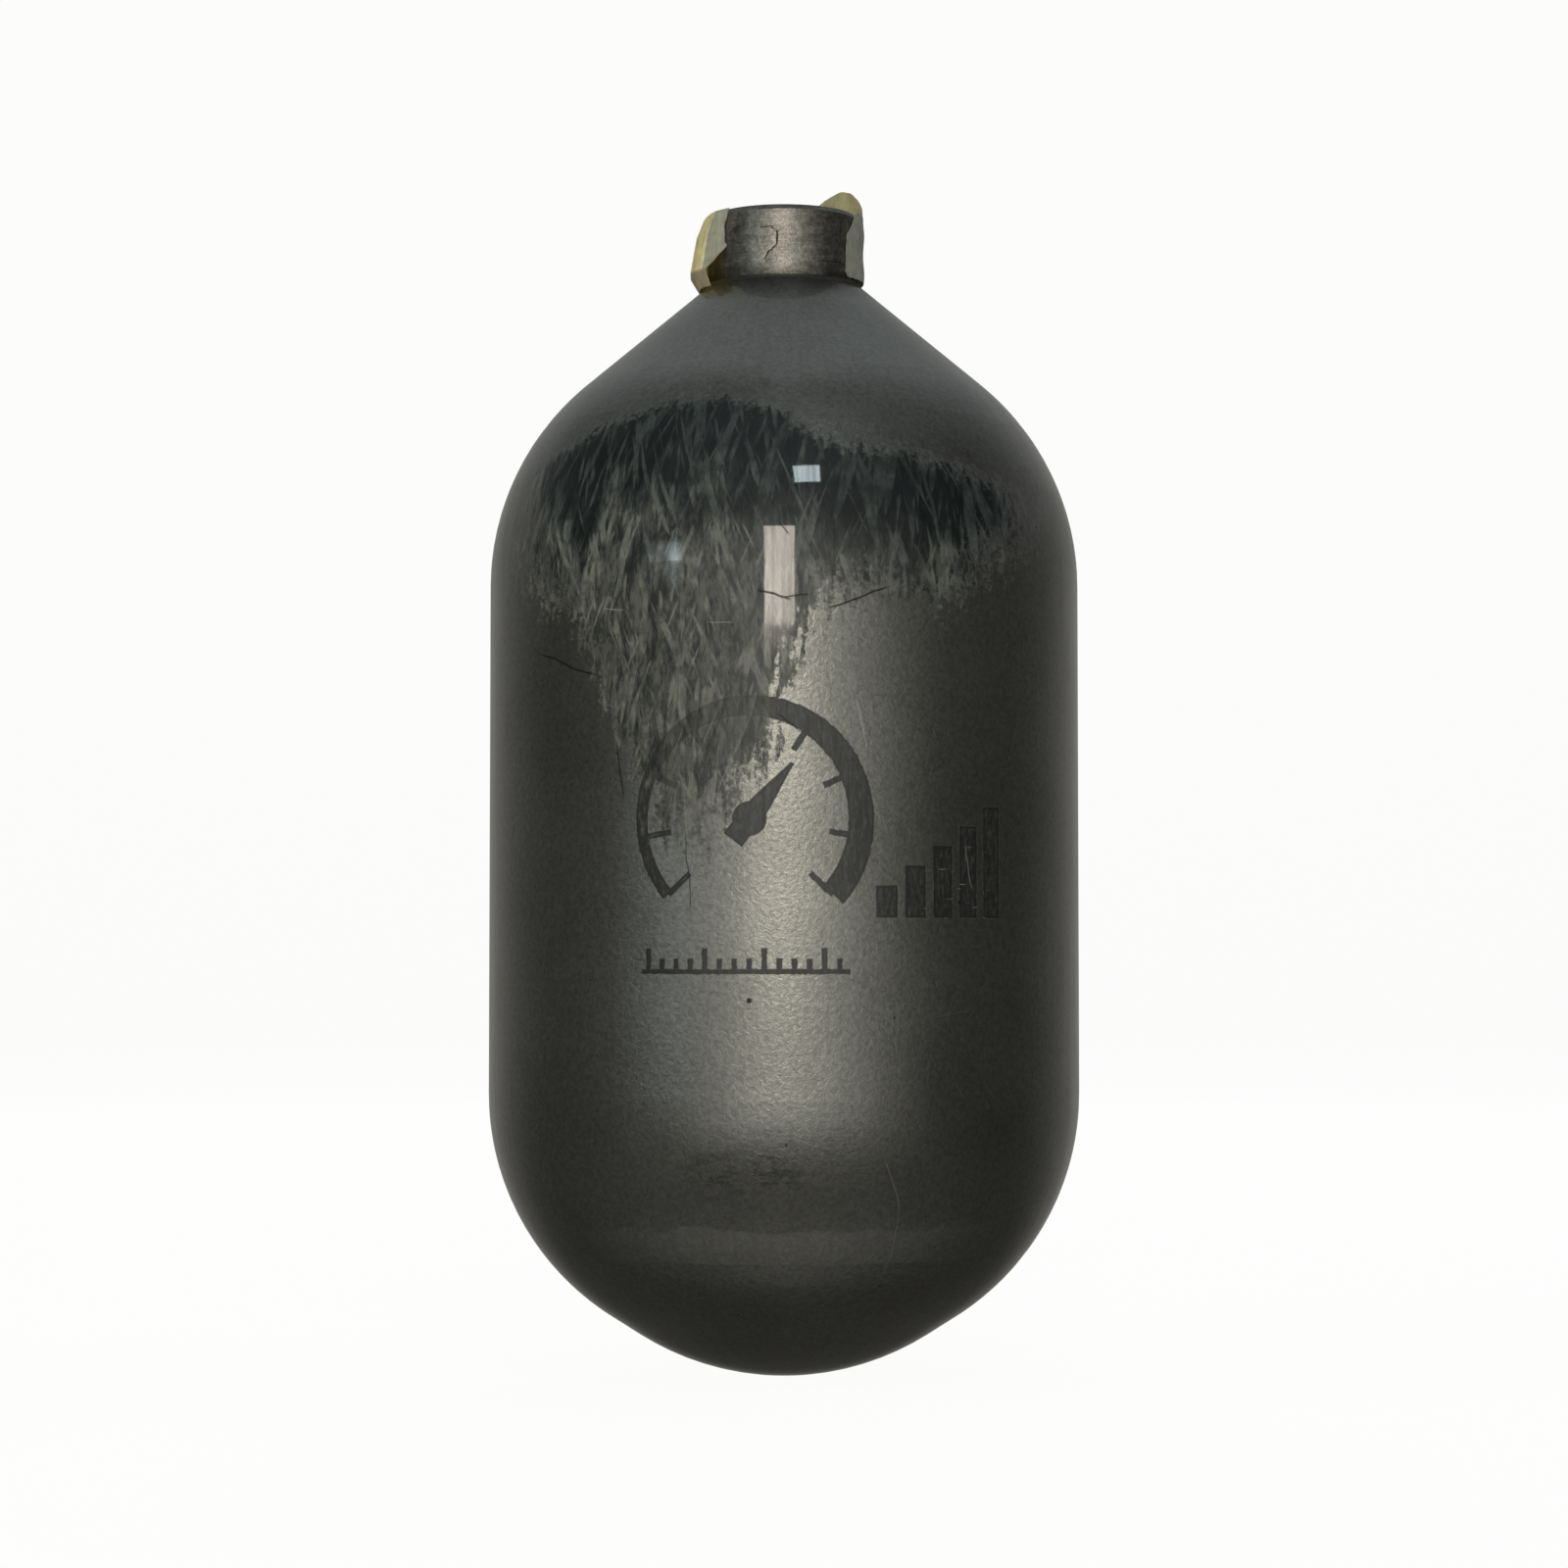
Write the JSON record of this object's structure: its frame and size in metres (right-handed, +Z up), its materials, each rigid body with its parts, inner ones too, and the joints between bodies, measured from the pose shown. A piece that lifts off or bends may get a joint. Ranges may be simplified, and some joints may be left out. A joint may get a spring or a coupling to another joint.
{
  "type": "compressed air cylinder",
  "caption": "Composite-wrapped compressed-air cylinder with an aluminium liner, domed ends and a threaded neck, bare of its regulator.",
  "frame": {"origin": "lowest point of the domed base, on the cylinder's axis", "axes": "+Z up the cylinder's axis, out of the neck; -Y is the decorated front; +Y is the label side; +X is the right-hand side seen from the front"},
  "size_m": [0.109, 0.109, 0.2222],
  "materials": {
    "liner": "turned and brushed, fine rings round the neck",
    "barrier_ply": "glass cloth in epoxy",
    "carbon_ply": "carbon tows in epoxy, as wound",
    "glass_ply": "glass tows in epoxy, as wound",
    "gel_coat": "satin grey metallic fade over bare carbon, with plain pictogram marks",
    "resin_plug": "filled epoxy, as cured",
    "label_film": "printed film with blank ruled fields, no lettering",
    "masking_tape": "creased crepe paper, torn edges"
  },
  "bodies": {
    "root": {"liner": "liner", "barrier_wrap": "barrier_ply", "inner_helical_wrap": "carbon_ply", "inner_hoop_wrap": "carbon_ply", "middle_helical_wrap": "carbon_ply", "outer_hoop_wrap": "carbon_ply", "outer_helical_wrap": "carbon_ply", "glass_wrap": "glass_ply", "gel_coat": "gel_coat", "base_plug": "resin_plug", "data_label": "label_film", "neck_tape_left": "masking_tape", "neck_tape_right": "masking_tape"}
  },
  "joints": []
}
